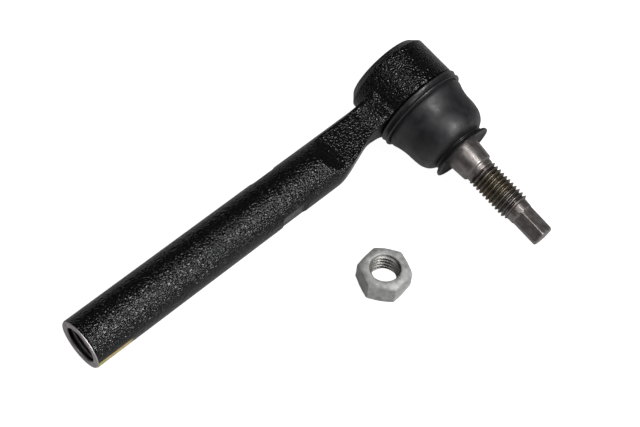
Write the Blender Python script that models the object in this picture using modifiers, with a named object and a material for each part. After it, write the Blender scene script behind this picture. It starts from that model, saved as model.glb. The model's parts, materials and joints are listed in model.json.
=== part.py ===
"""Outer tie rod end: a forged rod with a ball housing, a ball stud, a dust boot and a loose nut.

The part is drawn in its own frame first. The rod runs along X, the ball centre is the origin, and
the stud points along -Y. It is then laid on the table, where it rests on the rod's open end, on the
boot clamp and on the tip of the stud. Sizes are in millimetres.
"""

import math

import bmesh
import bpy
from mathutils import Matrix, Vector

MM = 0.001
GAP = 0.3  # left between pieces that touch

# Rod: a round sleeve with a female thread for the inner tie rod
ROD_LENGTH = 189.0  # stud axis to the open end
ROD_RADIUS = 11.6
ROD_CHAMFER = 0.6
BORE_RADIUS = 8.2  # minor radius of M18x1.5
BORE_DEPTH = 80.0
BORE_CHAMFER = 0.9
DRILL_TIP = 4.0
FLAT_CENTRE = 81.3  # wrench flats, from the stud axis
FLAT_LENGTH = 13.7
FLAT_WIDTH = 20.8  # across the two flats

# Neck between the rod and the housing
NECK_HALF_HEIGHT = 7.0
SCOOP_FLOOR_START = 48.0  # from the stud axis
SCOOP_RUNOUT_RADIUS = 16.0
HOUSING_FILLET = 10.0
NECK_SIDE_START = 52.5  # where the stud side of the neck leaves the rod
NECK_SIDE_END = 29.5
NECK_SIDE_FILLET = 14.0
NECK_BACK = 11.2  # cap side of the neck where it meets the housing
WEB_START = 38.0  # where the neck's cap side starts to widen, from the stud axis
WEB_START_SHARE = 0.7  # of the rod's radius

# Housing, turned about the stud axis. A station is a distance from the ball centre towards the stud's tip.
HOUSING_WALL = 5.1  # outside the bearing's bore
HOUSING_DRAFT = 0.4  # smaller at the cap end
SHOULDER = 3.4  # station of the face behind the boot
RIM_STEP = 0.35  # where the wall stops and the rolled rim starts
RIM_TAPER = 2.7  # how much the rim closes in
RIM_HEIGHT = 3.3  # from the step in the wall to the end of the rim
RIM_LIP = 1.1  # thickness over the plate
RIM_EDGE = 0.5
SPIGOT_WALL = 1.5  # outside the bearing's bore
SPIGOT_END = 9.4
MOUTH_SHARE = 0.9  # of the ball's radius
MOUTH_LIP = 7.6  # station of the narrowest part of the mouth
MOUTH_FLARE = 1.2  # wider at the face than at its narrowest part

# Ball and its bearing
BALL_RADIUS = 13.0
BALL_FLAT = 4.5
LINER_WALL = 2.5
LINER_TOP = 6.5
SEAT_SPLIT = -0.9
SEAT_FLOOR = 1.5
SEAT_HOLE = 4.0
SPRING_THICKNESS = 0.6
SPRING_RISE = 0.4
SPRING_OUTER = 12.5
SPRING_INNER = 6.0
PLATE_THICKNESS = 1.7
PLATE_OVERLAP = 1.6  # how far the rolled rim covers the plate
PLATE_DISH = 0.5
PLATE_DISH_RADIUS = 9.0

# Stud
NECK_RADIUS = 6.5
NECK_STRAIGHT = 1.0  # length past the ball
COLLAR_START = 23.0
TAPER_START = 34.0
TAPER_END = 43.2
TAPER_END_RADIUS = 7.65
TAPER_RATE = 1.0 / 12.0  # of radius, which is 1:6 on the diameter
UNDERCUT_RADIUS = 6.57
THREAD_START = 46.6
THREAD_END = 69.4
THREAD_MAJOR = 7.0  # M14x2
THREAD_MINOR = 5.8
THREAD_PITCH = 2.0
THREAD_RELIEF = 0.8  # length of the cone from the undercut to the thread's root
HEX_START = 72.2
HEX_FLATS = 10.0
HEX_LAND_RADIUS = 5.55
HEX_LEAD = 0.3
HEX_TURN = math.radians(-8.2)
STUD_END = 85.8
TIP_CHAMFER = 1.3

# Boot and its two rings
BOOT_WALL = 1.9
BOOT_FOOT_END = 8.3
CLAMP_WIDTH = 3.9
CLAMP_THICKNESS = 1.8
CLAMP_ROUND = 0.6
GROOVE_STATION = 31.2
GROOVE_RADIUS = 12.2
GROOVE_HALF_WIDTH = 0.7
GROOVE_SIDE = 1.0
LIP_FLARE = 2.6  # lip's radius over the groove's
LIP_REACH = 1.8  # lip's end, past the groove
BOOT_BULGE = 0.5  # over the foot, just past the clamp
BOOT_WAIST = 1.4  # under the foot, before the rounded end
BOOT_END_LENGTH = 9.8  # of the rounded end before the groove
BOOT_END_WALL = 2.5
GRIP_FLARE = 1.8
RING_WIRE = 0.5

# Nut
NUT_FLATS = 20.9
NUT_HEIGHT = 11.0
NUT_CHAMFER_RADIUS = 9.5
NUT_CHAMFER_ANGLE = math.radians(30.0)
NUT_SINK = 0.6
NUT_CLEARANCE = 0.1  # of its thread's major radius over the stud's
NUT_MINOR_RADIUS = 6.05
NUT_FROM_ROD_AXIS = 52.6
NUT_FROM_STUD_AXIS = 67.0
NUT_TURN = math.radians(8.3)

# Facets
ROUND = 40
THREAD_COLUMNS = 30
BALL_STEP = math.radians(10.0)
ARC_STEP = math.radians(12.0)
WIRE_STEP = math.radians(45.0)

# Sizes that follow from those above
LINER_INNER = BALL_RADIUS + GAP
LINER_OUTER = LINER_INNER + LINER_WALL
HOUSING_BORE = LINER_OUTER + GAP
HOUSING_RADIUS = HOUSING_BORE + HOUSING_WALL
FILLET_WALL = HOUSING_RADIUS - HOUSING_DRAFT - GAP  # a little inside the wall, so the fillet runs into it
SPIGOT_RADIUS = HOUSING_BORE + SPIGOT_WALL
MOUTH_RADIUS = BALL_RADIUS * MOUTH_SHARE
SEAT_BOTTOM = -(LINER_INNER + SEAT_FLOOR)
SPRING_TOP = SEAT_BOTTOM - GAP
PLATE_TOP = SPRING_TOP - SPRING_RISE - SPRING_THICKNESS - GAP
PLATE_RADIUS = HOUSING_BORE + PLATE_OVERLAP
RIM_TOP = PLATE_TOP - PLATE_THICKNESS - GAP - RIM_LIP
CAP_STEP = RIM_TOP + RIM_HEIGHT
RIM_INNER_RADIUS = HOUSING_BORE
CLAMP_START = SHOULDER + GAP + 0.2
BOOT_FOOT_RADIUS = SPIGOT_RADIUS + GAP + BOOT_WALL
CLAMP_INNER = BOOT_FOOT_RADIUS + GAP
CLAMP_OUTER = CLAMP_INNER + CLAMP_THICKNESS
COLLAR_RADIUS = TAPER_END_RADIUS + (TAPER_END - TAPER_START) * TAPER_RATE


def clear_scene():
    for obj in list(bpy.data.objects):
        bpy.data.objects.remove(obj, do_unlink=True)


def make_collection(name):
    group = bpy.data.collections.new(name)
    bpy.context.scene.collection.children.link(group)
    return group


def make_material(name, colour, roughness, metallic):
    material = bpy.data.materials.new(name)
    material.use_nodes = True
    shader = material.node_tree.nodes["Principled BSDF"]
    shader.inputs["Base Color"].default_value = (*colour, 1.0)
    shader.inputs["Roughness"].default_value = roughness
    shader.inputs["Metallic"].default_value = metallic
    return material


def make_empty(name, group, parent=None):
    empty = bpy.data.objects.new(name, None)
    empty.parent = parent
    group.objects.link(empty)
    return empty


def add_object(name, mesh, group, parent, material=None):
    obj = bpy.data.objects.new(name, mesh)
    obj.parent = parent
    if material:
        mesh.materials.append(material)
    group.objects.link(obj)
    return obj


def arc(centre, radius, start, end, step=ARC_STEP):
    """Points on a circle from one angle to the other, both included."""
    count = max(1, math.ceil(abs(end - start) / step - 1e-6))
    angles = [start + (end - start) * i / count for i in range(count + 1)]
    return [(centre[0] + radius * math.cos(a), centre[1] + radius * math.sin(a)) for a in angles]


def profile_mesh(name, points, closed):
    """A wire in the XZ plane, as (radius, station) points, for a Screw modifier."""
    mesh = bpy.data.meshes.new(name)
    count = len(points)
    edges = [(i, i + 1) for i in range(count - 1)]
    if closed:
        edges.append((count - 1, 0))
    mesh.from_pydata([(r * MM, 0.0, z * MM) for r, z in points], edges, [])
    return mesh


def turned(name, points, group, parent, material=None, closed=False, steps=ROUND):
    """A shape turned about its own Z. Its points run down the outer side."""
    obj = add_object(name, profile_mesh(name, points, closed), group, parent, material)
    screw = obj.modifiers.new("turn", "SCREW")
    screw.steps = steps
    screw.render_steps = steps
    screw.use_merge_vertices = True
    screw.merge_threshold = 0.00001
    screw.use_smooth_shade = True
    return obj


def outline_prism(name, points, low, high, group, parent):
    """A flat outline, given as (x, y) points, raised from one height to another."""
    curve = bpy.data.curves.new(name, "CURVE")
    curve.dimensions = "2D"
    curve.fill_mode = "BOTH"
    curve.extrude = (high - low) / 2 * MM
    spline = curve.splines.new("POLY")
    spline.points.add(len(points) - 1)
    for point, (x, y) in zip(spline.points, points):
        point.co = (x * MM, y * MM, 0.0, 1.0)
    spline.use_cyclic_u = True
    guide = bpy.data.objects.new(name + "_outline", curve)
    group.objects.link(guide)
    bpy.context.view_layer.update()
    mesh = bpy.data.meshes.new_from_object(guide.evaluated_get(bpy.context.evaluated_depsgraph_get()))
    bpy.data.objects.remove(guide, do_unlink=True)
    mesh.name = name
    mesh.transform(Matrix.Translation((0, 0, (low + high) / 2 * MM)))
    work = bmesh.new()
    work.from_mesh(mesh)
    bmesh.ops.remove_doubles(work, verts=work.verts, dist=1e-7)
    bmesh.ops.recalc_face_normals(work, faces=work.faces)
    work.to_mesh(mesh)
    work.free()
    return add_object(name, mesh, group, parent)


def box(name, low, high, group, parent):
    mesh = bpy.data.meshes.new(name)
    work = bmesh.new()
    bmesh.ops.create_cube(work, size=1.0)
    size = Vector(high) - Vector(low)
    middle = (Vector(high) + Vector(low)) / 2
    bmesh.ops.scale(work, vec=size * MM, verts=work.verts)
    bmesh.ops.translate(work, vec=middle * MM, verts=work.verts)
    work.to_mesh(mesh)
    work.free()
    return add_object(name, mesh, group, parent)


def as_helper(obj):
    obj.hide_render = True
    obj.display_type = "WIRE"
    return obj


def combine(obj, other, operation):
    modifier = obj.modifiers.new(other.name, "BOOLEAN")
    modifier.operation = operation
    modifier.object = as_helper(other)
    modifier.solver = "EXACT"


def shade(obj):
    obj.data.shade_smooth()
    obj.data.set_sharp_from_angle(angle=math.radians(35.0))


# Grids turned about Z, for shapes whose radius changes round the axis


def ring(radius, station, columns=THREAD_COLUMNS):
    """One row of points. The radius is a number, or a function of the angle."""
    row = []
    for j in range(columns):
        angle = 2 * math.pi * j / columns
        r = radius(angle) if callable(radius) else radius
        z = station(angle) if callable(station) else station
        row.append(Vector((r * math.cos(angle), r * math.sin(angle), z)) * MM)
    return row


def add_rows(work, rows):
    """Joins each row to the next, and each row's end to its start."""
    columns = len(rows[0])
    verts = [[work.verts.new(point) for point in row] for row in rows]
    for lower, upper in zip(verts, verts[1:]):
        for j in range(columns):
            k = (j + 1) % columns
            work.faces.new((lower[j], lower[k], upper[k], upper[j]))


def add_thread(work, start, end, root, crest, pitch, columns=THREAD_COLUMNS):
    """A helical thread between two plain rings at the root radius, with a run-out at both ends."""
    shape = [(0.0, 0.0), (0.25, 0.0), (0.5625, 1.0), (0.6875, 1.0)]
    runout = 0.75 * pitch

    def place(index, j):
        turn, corner = divmod(index, len(shape))
        share, rise = shape[corner]
        station = start + pitch * (turn + share + j / columns - 1.0)
        inside = min(station - start, end - station)
        rise *= min(1.0, max(0.0, inside / runout))
        radius = root + (crest - root) * rise
        angle = 2 * math.pi * j / columns
        height = min(end, max(start, station))
        return Vector((radius * math.cos(angle), radius * math.sin(angle), height)) * MM

    count = (math.ceil((end - start) / pitch) + 1) * len(shape)
    for index in range(count):
        for j in range(columns):
            corners = [place(index, j), place(index, j + 1), place(index + 1, j + 1), place(index + 1, j)]
            work.faces.new([work.verts.new(point) for point in corners])


def grid_object(name, work, group, parent, material):
    bmesh.ops.remove_doubles(work, verts=work.verts, dist=2e-7)
    bmesh.ops.dissolve_degenerate(work, edges=work.edges, dist=1e-7)
    bmesh.ops.recalc_face_normals(work, faces=work.faces)
    mesh = bpy.data.meshes.new(name)
    work.to_mesh(mesh)
    work.free()
    obj = add_object(name, mesh, group, parent, material)
    shade(obj)
    return obj


def hexagon(across_flats, land=None):
    """The radius of a hexagon with a corner at angle zero. Its corners are kept inside a round land."""

    def radius(angle):
        from_flat = angle % (math.pi / 3) - math.pi / 6
        flat = across_flats / 2 / math.cos(from_flat)
        return min(flat, land) if land else flat

    return radius


# Pieces


def housing_profile():
    """Outer side of the ball housing, solid to the axis."""
    cap_radius = HOUSING_RADIUS - HOUSING_DRAFT
    rim_radius = cap_radius - RIM_TAPER
    return [
        (0.0, SPIGOT_END),
        (SPIGOT_RADIUS - 0.5, SPIGOT_END),
        (SPIGOT_RADIUS, SPIGOT_END - 0.5),
        (SPIGOT_RADIUS, SHOULDER),
        (HOUSING_RADIUS - 0.5, SHOULDER),
        (HOUSING_RADIUS, SHOULDER - 0.5),
        (cap_radius, CAP_STEP),
        (cap_radius - RIM_STEP, CAP_STEP - RIM_STEP / 2),
        (rim_radius, RIM_TOP + RIM_EDGE),
        (rim_radius - RIM_EDGE, RIM_TOP),
        (0.0, RIM_TOP),
    ]


def cavity_profile():
    """The bored inside of the housing, from past the mouth to past the rolled rim."""
    plate_pocket = PLATE_RADIUS + GAP
    pocket_start = PLATE_TOP + GAP
    pocket_end = PLATE_TOP - PLATE_THICKNESS - GAP
    flare_rise = (SPIGOT_END + 1.0 - MOUTH_LIP) / (SPIGOT_END - MOUTH_LIP)
    return [
        (0.0, SPIGOT_END + 1.0),
        (MOUTH_RADIUS + MOUTH_FLARE * flare_rise, SPIGOT_END + 1.0),
        (MOUTH_RADIUS, MOUTH_LIP),
        (MOUTH_RADIUS, LINER_TOP + GAP),
        (HOUSING_BORE, LINER_TOP + GAP),
        (HOUSING_BORE, pocket_start),
        (plate_pocket, pocket_start),
        (plate_pocket, pocket_end),
        (RIM_INNER_RADIUS, pocket_end),
        (RIM_INNER_RADIUS, RIM_TOP - 1.0),
        (0.0, RIM_TOP - 1.0),
    ]


def scoop_outline():
    """Side view of what is cut from one face of the neck, as (distance from the stud axis, height)."""
    floor = NECK_HALF_HEIGHT
    top = HOUSING_RADIUS + 2.0
    rise = ROD_RADIUS + 1.0 - floor
    swing = math.acos(1.0 - rise / SCOOP_RUNOUT_RADIUS)
    centre = (SCOOP_FLOOR_START, floor + SCOOP_RUNOUT_RADIUS)
    runout = arc(centre, SCOOP_RUNOUT_RADIUS, -math.pi / 2 + swing, -math.pi / 2)
    reach = FILLET_WALL + HOUSING_FILLET
    height = floor + HOUSING_FILLET
    across = math.sqrt(reach * reach - height * height)
    fillet = arc((across, height), HOUSING_FILLET, -math.pi / 2, -math.pi + math.atan2(height, across))
    return [(runout[0][0], top), *runout, *fillet, (fillet[-1][0], top)]


def neck_side_outline():
    """Plan view of what is cut from the stud side of the neck, as (distance from the stud axis, y)."""
    outside = -(ROD_RADIUS + 6.0)
    slope = math.atan2(ROD_RADIUS - SHOULDER, NECK_SIDE_START - NECK_SIDE_END)
    tangent = NECK_SIDE_FILLET * math.tan(slope / 2)
    centre = (NECK_SIDE_END - tangent, -SHOULDER - NECK_SIDE_FILLET)
    bend = arc(centre, NECK_SIDE_FILLET, math.pi / 2 - slope, math.pi / 2)
    past = (NECK_SIDE_START + 6.0, -ROD_RADIUS - 6.0 * math.tan(slope))
    return [past, *bend, (0.0, -SHOULDER), (0.0, outside), (past[0], outside)]


def fillet_top():
    """How high the fillet above the neck's floor runs into the round wall of the housing."""
    return (NECK_HALF_HEIGHT + HOUSING_FILLET) * FILLET_WALL / (FILLET_WALL + HOUSING_FILLET)


def make_forging(parts, cutters, lying, materials):
    """The rod and the ball housing are one forging."""
    end = -ROD_LENGTH
    inside = HOUSING_RADIUS / 2
    rod = turned(
        "rod_housing",
        [
            (0.0, -inside),
            (ROD_RADIUS, -inside),
            (ROD_RADIUS, end + ROD_CHAMFER),
            (ROD_RADIUS - ROD_CHAMFER, end),
            (0.0, end),
        ],
        parts,
        lying,
        materials["black_paint"],
    )
    rod.rotation_euler = (0.0, math.pi / 2, 0.0)

    def tool(obj, operation):
        combine(rod, obj, operation)

    web_end = inside - 2.0
    web = outline_prism(
        "web",
        [
            (-WEB_START, ROD_RADIUS * WEB_START_SHARE),
            (-HOUSING_RADIUS, NECK_BACK),
            (-web_end, NECK_BACK),
            (-web_end, -SHOULDER - 1.0),
            (-WEB_START, -SHOULDER - 1.0),
        ],
        -fillet_top(),
        fillet_top(),
        cutters,
        lying,
    )
    tool(web, "UNION")
    beyond = HOUSING_RADIUS * 1.5
    side_points = [(-x, y) for x, y in reversed(neck_side_outline())]
    side = outline_prism("neck_side", side_points, -beyond, beyond, cutters, lying)
    tool(side, "DIFFERENCE")
    for name, sign in (("scoop_top", 1.0), ("scoop_bottom", -1.0)):
        scoop_points = [(-x, sign * z) for x, z in scoop_outline()]
        scoop = outline_prism(name, scoop_points, -beyond, beyond, cutters, lying)
        scoop.rotation_euler = (math.pi / 2, 0.0, 0.0)
        tool(scoop, "DIFFERENCE")

    housing = turned("housing_outside", housing_profile(), cutters, lying)
    housing.rotation_euler = (math.pi / 2, 0.0, 0.0)
    tool(housing, "UNION")
    cavity = turned("housing_inside", cavity_profile(), cutters, lying)
    cavity.rotation_euler = (math.pi / 2, 0.0, 0.0)
    tool(cavity, "DIFFERENCE")

    bore = turned(
        "rod_bore",
        [
            (0.0, end + BORE_DEPTH + DRILL_TIP),
            (BORE_RADIUS, end + BORE_DEPTH),
            (BORE_RADIUS, end + BORE_CHAMFER),
            (BORE_RADIUS + BORE_CHAMFER, end),
            (BORE_RADIUS + BORE_CHAMFER, end - 2.0),
            (0.0, end - 2.0),
        ],
        cutters,
        lying,
    )
    bore.rotation_euler = (0.0, math.pi / 2, 0.0)
    tool(bore, "DIFFERENCE")

    for name, sign in (("flat_back", 1.0), ("flat_front", -1.0)):
        ends = sorted((sign * FLAT_WIDTH / 2, sign * (ROD_RADIUS + 3.0)))
        flat = box(
            name,
            (-FLAT_CENTRE - FLAT_LENGTH / 2, ends[0], -ROD_RADIUS),
            (-FLAT_CENTRE + FLAT_LENGTH / 2, ends[1], ROD_RADIUS),
            cutters,
            lying,
        )
        tool(flat, "DIFFERENCE")
    return rod


def stud_axis(obj):
    """Turns a piece so that its own Z points along the stud, towards the tip."""
    obj.rotation_euler = (math.pi / 2, 0.0, 0.0)
    return obj


def sphere_angle(radius, station):
    return math.asin(station / radius)


def make_bearing(parts, lying, materials):
    """The liner on the mouth side, the sprung seat behind the ball, its disc spring and the cover plate."""
    top = sphere_angle(LINER_INNER, LINER_TOP)
    low = sphere_angle(LINER_INNER, SEAT_SPLIT + GAP)
    liner = [(LINER_OUTER, LINER_TOP), (LINER_OUTER, SEAT_SPLIT + GAP)]
    liner += arc((0, 0), LINER_INNER, low, top)
    stud_axis(turned("bearing_liner", liner, parts, lying, materials["liner"], closed=True))

    split = sphere_angle(LINER_INNER, SEAT_SPLIT)
    hole = -math.acos(SEAT_HOLE / LINER_INNER)
    seat = [(LINER_OUTER, SEAT_SPLIT), (LINER_OUTER, SEAT_BOTTOM + 1.5), (LINER_OUTER - 1.5, SEAT_BOTTOM)]
    seat += [(SEAT_HOLE, SEAT_BOTTOM)]
    seat += arc((0, 0), LINER_INNER, hole, split)
    stud_axis(turned("pressure_seat", seat, parts, lying, materials["liner"], closed=True))

    inner_top = SPRING_TOP
    outer_top = SPRING_TOP - SPRING_RISE
    spring = [
        (SPRING_INNER, inner_top),
        (SPRING_OUTER, outer_top),
        (SPRING_OUTER, outer_top - SPRING_THICKNESS),
        (SPRING_INNER, inner_top - SPRING_THICKNESS),
    ]
    stud_axis(turned("preload_spring", spring, parts, lying, materials["bare_steel"], closed=True))

    back = PLATE_TOP - PLATE_THICKNESS
    plate = [
        (0.0, PLATE_TOP),
        (PLATE_RADIUS, PLATE_TOP),
        (PLATE_RADIUS, back),
        (PLATE_DISH_RADIUS + 1.5, back),
        (PLATE_DISH_RADIUS, back + PLATE_DISH),
        (0.0, back + PLATE_DISH),
    ]
    stud_axis(turned("cover_plate", plate, parts, lying, materials["black_paint"]))


def make_stud(parts, ball_centre, materials):
    """Ball, neck, taper, thread and the hexagon that holds the stud while the nut is turned."""
    work = bmesh.new()
    flat = -math.acos(BALL_FLAT / BALL_RADIUS)
    neck = math.acos(NECK_RADIUS / BALL_RADIUS)
    rows = []
    for radius, station in [
        (0.0, BALL_RADIUS * math.sin(flat)),
        *arc((0, 0), BALL_RADIUS, flat, neck, BALL_STEP),
        (NECK_RADIUS, BALL_RADIUS + NECK_STRAIGHT),
        (COLLAR_RADIUS, COLLAR_START),
        (COLLAR_RADIUS, TAPER_START),
        (TAPER_END_RADIUS, TAPER_END),
        (UNDERCUT_RADIUS, TAPER_END + TAPER_END_RADIUS - UNDERCUT_RADIUS),
        (UNDERCUT_RADIUS, THREAD_START - THREAD_RELIEF),
        (THREAD_MINOR, THREAD_START),
    ]:
        rows.append(ring(radius, station))
    add_rows(work, rows)
    add_thread(work, THREAD_START, THREAD_END, THREAD_MINOR, THREAD_MAJOR, THREAD_PITCH)
    six = hexagon(HEX_FLATS, HEX_LAND_RADIUS)
    tip = hexagon(HEX_FLATS, HEX_LAND_RADIUS - TIP_CHAMFER)
    rows = [
        ring(THREAD_MINOR, THREAD_END),
        ring(THREAD_MINOR, HEX_START),
        ring(six, HEX_START + HEX_LEAD),
        ring(six, STUD_END - TIP_CHAMFER),
        ring(tip, STUD_END),
        ring(0.0, STUD_END),
    ]
    add_rows(work, rows)
    stud = grid_object("ball_stud", work, parts, ball_centre, materials["stud_steel"])
    stud.data.transform(Matrix.Rotation(HEX_TURN, 4, "Z"))
    stud_axis(stud)


def ellipse_quarter(centre, radius, length):
    """From the widest point of an ellipse to its end, as (radius, station)."""
    unit = arc((0, 0), 1.0, 0.0, math.pi / 2)
    return [(centre[0] + radius * x, centre[1] + length * y) for x, y in unit]


def boot_profile():
    """Closed section of the boot: foot on the spigot, bulge, grip on the collar and a flared lip."""
    foot = BOOT_FOOT_RADIUS
    waist = foot - BOOT_WAIST
    grip = COLLAR_RADIUS + GAP
    inside_foot = SPIGOT_RADIUS + GAP
    groove_low = GROOVE_STATION - GROOVE_HALF_WIDTH
    groove_high = GROOVE_STATION + GROOVE_HALF_WIDTH
    side_radius = GROOVE_RADIUS + GROOVE_SIDE
    round_start = groove_low - BOOT_END_LENGTH
    middle = (BOOT_FOOT_END + round_start) / 2
    lip = GROOVE_RADIUS + LIP_FLARE
    lip_end = groove_high + LIP_REACH
    outer_end = ellipse_quarter((side_radius, round_start), waist - side_radius, BOOT_END_LENGTH - GAP)
    outer = [
        (foot, SHOULDER + GAP),
        (foot, BOOT_FOOT_END),
        (foot + BOOT_BULGE, BOOT_FOOT_END + BOOT_BULGE),
        (foot + BOOT_BULGE, BOOT_FOOT_END + 3 * BOOT_BULGE),
        (waist + 0.25 * BOOT_WAIST, middle),
        *outer_end,
        (GROOVE_RADIUS, groove_low),
        (GROOVE_RADIUS, groove_high),
        (side_radius, groove_high + GAP),
        (lip, lip_end - LIP_REACH / 6),
        (lip - LIP_REACH / 6, lip_end),
    ]
    inner_waist = waist - BOOT_WALL
    grip_side = grip + GRIP_FLARE
    inner_length = BOOT_END_LENGTH - BOOT_END_WALL
    inner_end = ellipse_quarter((grip_side, round_start), inner_waist - grip_side, inner_length)
    inner = [
        (grip_side, groove_high + LIP_REACH / 3),
        (grip, groove_high),
        (grip, groove_low - BOOT_END_WALL + GRIP_FLARE / 2),
        *reversed(inner_end),
        (inside_foot, SPIGOT_END + GAP),
        (inside_foot, SHOULDER + GAP),
    ]
    return list(reversed(outer)) + list(reversed(inner))


def make_boot(parts, ball_centre, lying, materials):
    stud_axis(turned("dust_boot", boot_profile(), parts, ball_centre, materials["rubber"], closed=True))
    top = CLAMP_START + CLAMP_WIDTH
    clamp = [
        (CLAMP_INNER, top),
        (CLAMP_OUTER - CLAMP_ROUND, top),
        (CLAMP_OUTER, top - CLAMP_ROUND),
        (CLAMP_OUTER, CLAMP_START + CLAMP_ROUND),
        (CLAMP_OUTER - CLAMP_ROUND, CLAMP_START),
        (CLAMP_INNER, CLAMP_START),
    ]
    stud_axis(turned("boot_clamp", clamp, parts, lying, materials["clamp"], closed=True))
    wire_centre = (GROOVE_RADIUS + GAP + RING_WIRE, GROOVE_STATION)
    wire = arc(wire_centre, RING_WIRE, math.pi / 2, -1.5 * math.pi, WIRE_STEP)[:-1]
    spring_ring = turned("boot_spring_ring", wire, parts, ball_centre, materials["clamp"], closed=True)
    stud_axis(spring_ring)


def make_nut(parts, table, materials):
    """A hexagon nut with chamfered corners and its thread, lying flat."""
    work = bmesh.new()
    six = hexagon(NUT_FLATS)
    fall = math.tan(NUT_CHAMFER_ANGLE)

    def drop(angle):
        return max(0.0, six(angle) - NUT_CHAMFER_RADIUS) * fall

    sink = THREAD_MAJOR + NUT_CLEARANCE
    rows = [
        ring(sink, NUT_SINK),
        ring(sink + NUT_SINK, 0.0),
        ring(NUT_CHAMFER_RADIUS, 0.0),
        ring(six, drop),
        ring(six, lambda angle: NUT_HEIGHT - drop(angle)),
        ring(NUT_CHAMFER_RADIUS, NUT_HEIGHT),
        ring(sink + NUT_SINK, NUT_HEIGHT),
        ring(sink, NUT_HEIGHT - NUT_SINK),
    ]
    add_rows(work, rows)
    add_thread(work, NUT_SINK, NUT_HEIGHT - NUT_SINK, sink, NUT_MINOR_RADIUS, THREAD_PITCH)
    nut = grid_object("stud_nut", work, parts, table, materials["zinc"])
    nut.location = Vector((-NUT_FROM_STUD_AXIS, -NUT_FROM_ROD_AXIS, 0.0)) * MM
    nut.rotation_euler = (0.0, 0.0, NUT_TURN)
    return nut


def lay_on_table(lying):
    """Tilts the part so that the clamp, the stud's tip and the rod's end all touch the table."""
    clamp_station = CLAMP_START + CLAMP_WIDTH - CLAMP_ROUND
    tip_radius = HEX_FLATS / 2 / math.cos(math.radians(15))
    tip_station = STUD_END - TIP_CHAMFER
    roll = math.atan2(CLAMP_OUTER - tip_radius, tip_station - clamp_station)
    height = CLAMP_OUTER * math.cos(roll) + clamp_station * math.sin(roll)
    droop = math.atan2(height - ROD_RADIUS, ROD_LENGTH)
    turn = Matrix.Rotation(-droop, 4, "Y") @ Matrix.Rotation(roll, 4, "X")
    lying.matrix_local = Matrix.Translation((0, 0, height * math.cos(droop) * MM)) @ turn


def corners(objects):
    """The lowest and highest corner round all the pieces, as they stand."""
    bpy.context.view_layer.update()
    graph = bpy.context.evaluated_depsgraph_get()
    points = []
    for obj in objects:
        seen = obj.evaluated_get(graph)
        mesh = seen.to_mesh()
        points += [seen.matrix_world @ vertex.co for vertex in mesh.vertices]
        seen.to_mesh_clear()
    low = Vector(min(p[i] for p in points) for i in range(3))
    high = Vector(max(p[i] for p in points) for i in range(3))
    return low, high


def stand_at_origin(table, lying, nut, parts):
    """Puts the lying part and the nut on z = 0, and the middle of their box over the origin."""
    lying_pieces = [obj for obj in parts.objects if obj.type == "MESH" and obj is not nut]
    low, high = corners(lying_pieces)
    lying.matrix_local = Matrix.Translation((0, 0, -low.z)) @ lying.matrix_local
    low, high = corners(lying_pieces + [nut])
    table.location = (-(low.x + high.x) / 2, -(low.y + high.y) / 2, 0.0)


def main():
    clear_scene()
    parts = make_collection("tie_rod_end")
    cutters = make_collection("cutters")
    materials = {
        "black_paint": make_material("black_paint", (0.012, 0.012, 0.013), 0.38, 0.0),
        "liner": make_material("liner", (0.75, 0.73, 0.66), 0.45, 0.0),
        "bare_steel": make_material("bare_steel", (0.34, 0.32, 0.31), 0.35, 1.0),
        "stud_steel": make_material("stud_steel", (0.33, 0.30, 0.29), 0.36, 1.0),
        "rubber": make_material("rubber", (0.028, 0.026, 0.029), 0.55, 0.0),
        "clamp": make_material("clamp", (0.020, 0.020, 0.022), 0.40, 0.0),
        "zinc": make_material("zinc", (0.42, 0.42, 0.40), 0.55, 0.7),
    }
    table = make_empty("table", parts)
    lying = make_empty("lying_part", parts, table)
    ball_centre = make_empty("ball_centre", parts, lying)
    make_forging(parts, cutters, lying, materials)
    make_bearing(parts, lying, materials)
    make_stud(parts, ball_centre, materials)
    make_boot(parts, ball_centre, lying, materials)
    nut = make_nut(parts, table, materials)
    lay_on_table(lying)
    stand_at_origin(table, lying, nut, parts)


main()
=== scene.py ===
"""Looks of an outer tie rod end.

The part has its own frame: the rod along X, the ball's centre at the origin, the stud along -Y, in
millimetres. Pieces are shaped there, or in the frame of a turned piece whose Z runs from the ball's
centre towards the stud's tip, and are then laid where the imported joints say.
"""

import json
import math

import bmesh
import bpy
import numpy as np
from mathutils import Matrix, Vector, noise


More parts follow.
